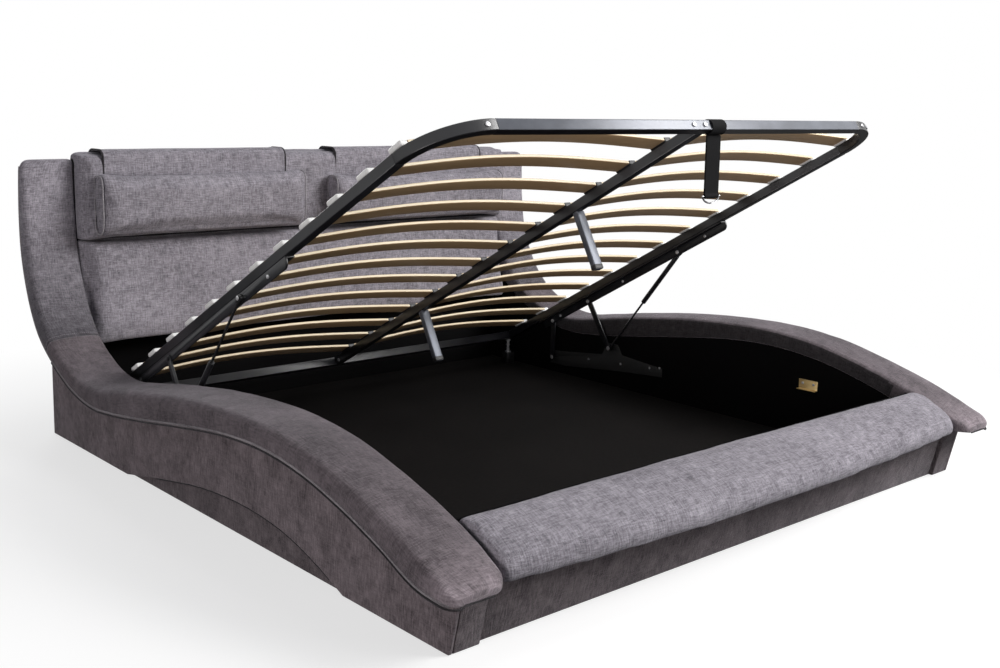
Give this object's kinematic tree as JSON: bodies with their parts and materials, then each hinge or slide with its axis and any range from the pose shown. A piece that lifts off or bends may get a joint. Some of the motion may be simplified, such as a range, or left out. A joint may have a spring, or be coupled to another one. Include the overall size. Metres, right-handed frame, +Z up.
{
  "type": "upholstered storage bed with gas-lift slatted frame",
  "caption": "Double bed with curved padded side rails, winged headboard and hanging bolsters; its slatted frame lifts on gas struts over a storage base.",
  "frame": {"origin": "on the floor under the middle of the whole bed", "axes": "+X across the bed, +Y from the foot end to the headboard, +Z up"},
  "size_m": [2.2, 2.2814, 1.1059],
  "materials": {
    "upholstery": "grey slub chenille weave",
    "lining": "black non-woven lining cloth on board",
    "board": "dark faced board",
    "black_steel": "satin black powder coat",
    "strut_rod": "smooth black piston rod",
    "ring_steel": "bright plated wire",
    "webbing": "woven black webbing",
    "brass": "brass-coloured plated steel",
    "birch": "clear-coated bent birch ply",
    "slat_cap": "white moulded plastic"
  },
  "bodies": {
    "base": {"side_panel_left": "upholstery", "side_panel_right": "upholstery", "side_wall_left": "upholstery", "side_wall_right": "upholstery", "side_lining_left": "lining", "side_lining_right": "lining", "foot_panel": "upholstery", "foot_lining": "lining", "foot_pad": "upholstery", "head_wall": "lining", "floor_board": "board", "band_board_left": "upholstery", "band_board_right": "upholstery", "band_pad_left": "upholstery", "band_pad_right": "upholstery", "wing_pad_left": "upholstery", "wing_pad_right": "upholstery", "headboard_frame": "board", "headboard_lower_pad": "upholstery", "headboard_upper_pad": "upholstery", "base_plate_left": "black_steel", "base_plate_right": "black_steel", "corner_bracket": "brass"},
    "front_links": {"front_link_left": "black_steel", "front_link_right": "black_steel"},
    "lift_frame": {"frame_side_left": "black_steel", "frame_side_right": "black_steel", "frame_corner_left": "black_steel", "frame_corner_right": "black_steel", "frame_foot_tube": "black_steel", "frame_head_tube": "black_steel", "frame_mid_rail": "black_steel", "lift_rail_left": "black_steel", "lift_rail_right": "black_steel", "support_leg_foot": "black_steel", "support_leg_head": "black_steel", "slat_row_01": "birch", "slat_row_02": "birch", "slat_row_03": "birch", "slat_row_04": "birch", "slat_row_05": "birch", "slat_row_06": "birch", "slat_row_07": "birch", "slat_row_08": "birch", "slat_row_09": "birch", "slat_row_10": "birch", "slat_row_11": "birch", "slat_row_12": "birch", "slat_row_13": "birch"},
    "rear_links": {"rear_link_left": "black_steel", "rear_link_right": "black_steel"},
    "lower_struts": {"strut_cylinder_left": "black_steel", "strut_rod_right": "strut_rod"},
    "upper_struts": {"strut_cylinder_right": "black_steel", "strut_rod_left": "strut_rod"},
    "strap": {"pull_strap": "webbing", "strap_ring": "ring_steel"},
    "bolster_left": {"bolster_left": "upholstery"},
    "bolster_right": {"bolster_right": "upholstery"}
  },
  "joints": [
    {"name": "front_link_hinge", "type": "hinge", "parent": "base", "child": "front_links", "pos_m": [0, 0.36098, 0.17977], "axis": [-1, 0, 0], "range_deg": [0, 53.36], "stiffness_Nm_per_rad": 170, "springref_deg": -100.27},
    {"name": "lift_frame_hinge", "type": "hinge", "parent": "front_links", "child": "lift_frame", "pos_m": [0, 0.4751, 0.35367], "axis": [1, 0, 0], "range_deg": [0, 82.26]},
    {"name": "rear_link_hinge", "type": "hinge", "parent": "base", "child": "rear_links", "pos_m": [0, 0.68026, 0.08961], "axis": [-1, 0, 0], "range_deg": [0, 50.8]},
    {"name": "gas_strut_hinge", "type": "hinge", "parent": "base", "child": "lower_struts", "pos_m": [0, 0.36098, 0.17977], "axis": [1, 0, 0], "range_deg": [0, 49.12]},
    {"name": "gas_strut_slide", "type": "slide", "parent": "lower_struts", "child": "upper_struts", "axis": [0, 0.6283, -0.778], "range_m": [0, 0.2321]},
    {"name": "strap_hinge", "type": "hinge", "parent": "lift_frame", "child": "strap", "pos_m": [0, -0.79711, 1.08488], "axis": [1, 0, 0], "range_deg": [-10, 40]},
    {"name": "bolster_left_lift", "type": "slide", "parent": "base", "child": "bolster_left", "axis": [0, 0, 1], "range_m": [0, 0.09]},
    {"name": "bolster_right_lift", "type": "slide", "parent": "base", "child": "bolster_right", "axis": [0, 0, 1], "range_m": [0, 0.09]}
  ],
  "couplings": [
    {"joint": "lift_frame_hinge", "follows": "front_link_hinge", "ratio": 1.536},
    {"joint": "rear_link_hinge", "follows": "front_link_hinge", "ratio": 0.94641},
    {"joint": "gas_strut_hinge", "follows": "front_link_hinge", "ratio": 0.91499},
    {"joint": "gas_strut_slide", "follows": "front_link_hinge", "m_per_rad": 0.24876}
  ]
}
